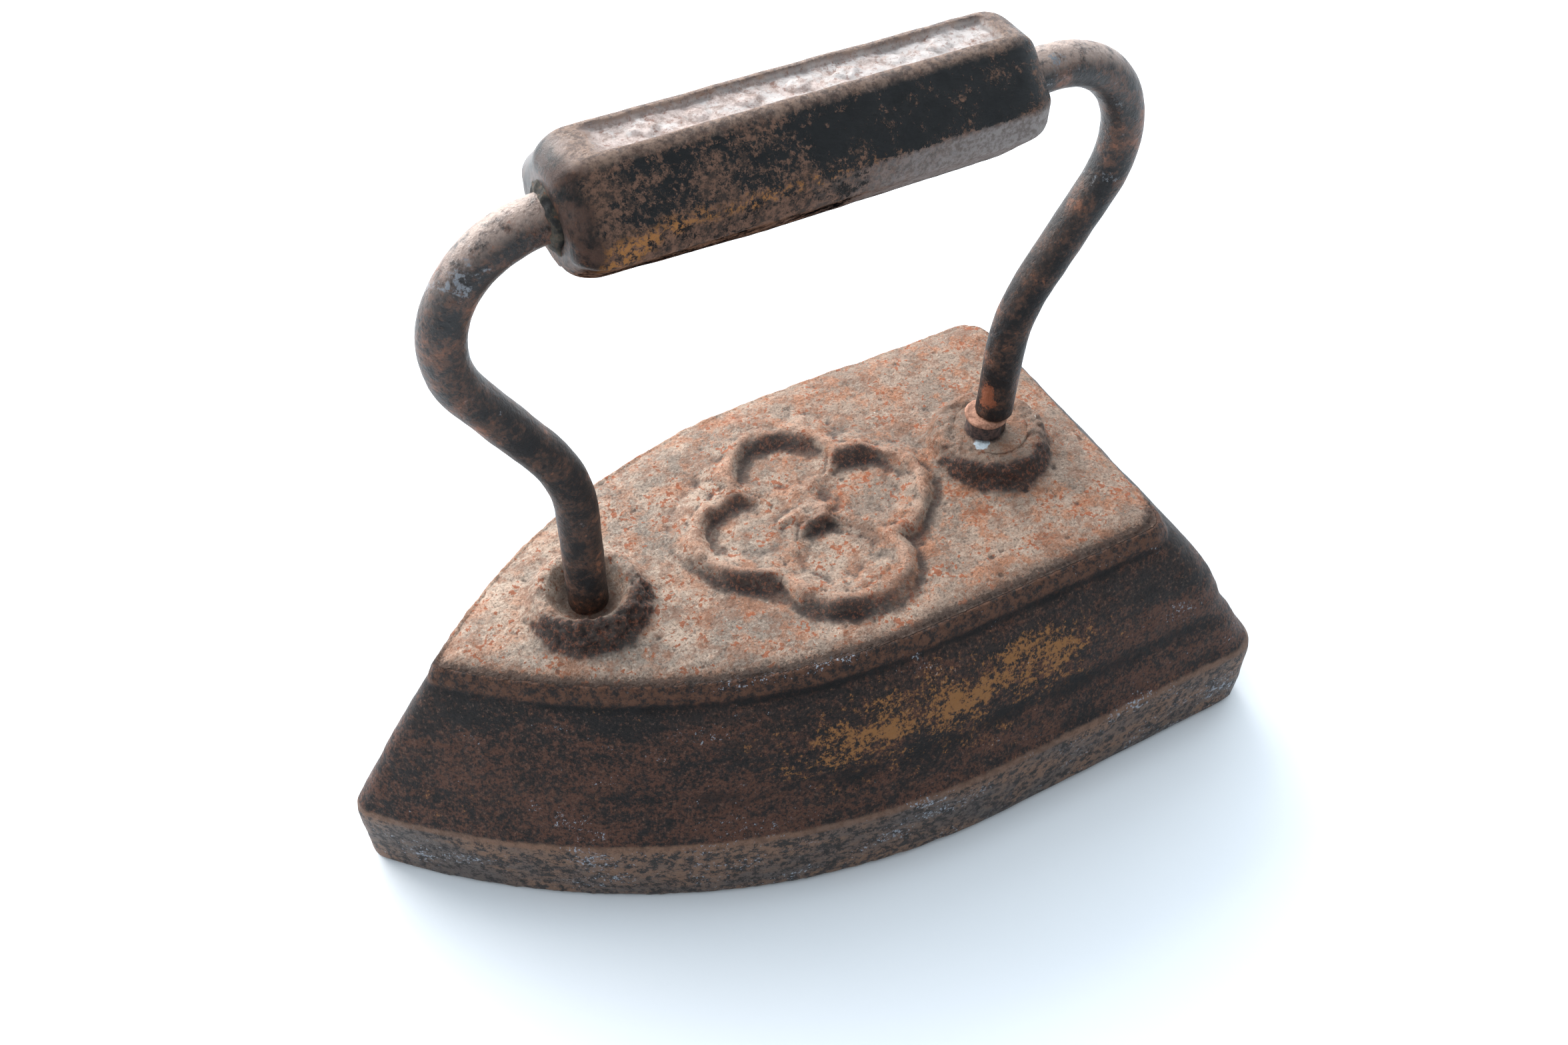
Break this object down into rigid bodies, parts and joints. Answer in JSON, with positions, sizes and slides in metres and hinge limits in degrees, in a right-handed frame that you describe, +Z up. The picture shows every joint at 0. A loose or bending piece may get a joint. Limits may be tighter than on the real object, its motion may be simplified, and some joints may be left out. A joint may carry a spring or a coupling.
{
  "type": "sad iron",
  "caption": "Solid cast-iron pressing iron: pointed wedge body with a bent round-rod handle and an octagonal hollow cast grip.",
  "frame": {"origin": "on the flat sole, under the middle of the overall length and width", "axes": "+X towards the pointed nose, +Y to the iron's left side when looking towards the nose, +Z up"},
  "size_m": [0.17, 0.0968, 0.1392],
  "materials": {
    "body_iron": "bare cast iron, pitted, dusty and rust-mottled",
    "rod_steel": "dark oxidised round iron rod with rust patches and worn bends",
    "grip_paint": "worn black enamel over cast iron, rust showing at edges",
    "core_sand": "baked foundry sand, matt",
    "plug_filler": "crusty grey-brown filler",
    "socket_lead": "dull dusty poured metal",
    "collar_iron": "bright orange-brown rust"
  },
  "bodies": {
    "root": {"body_casting": "body_iron", "handle_rod": "rod_steel", "grip_casting": "grip_paint", "grip_core": "core_sand", "front_grip_plug": "plug_filler", "rear_grip_plug": "plug_filler", "front_socket_lead": "socket_lead", "rear_socket_lead": "socket_lead", "rear_rod_collar": "collar_iron"}
  },
  "joints": []
}
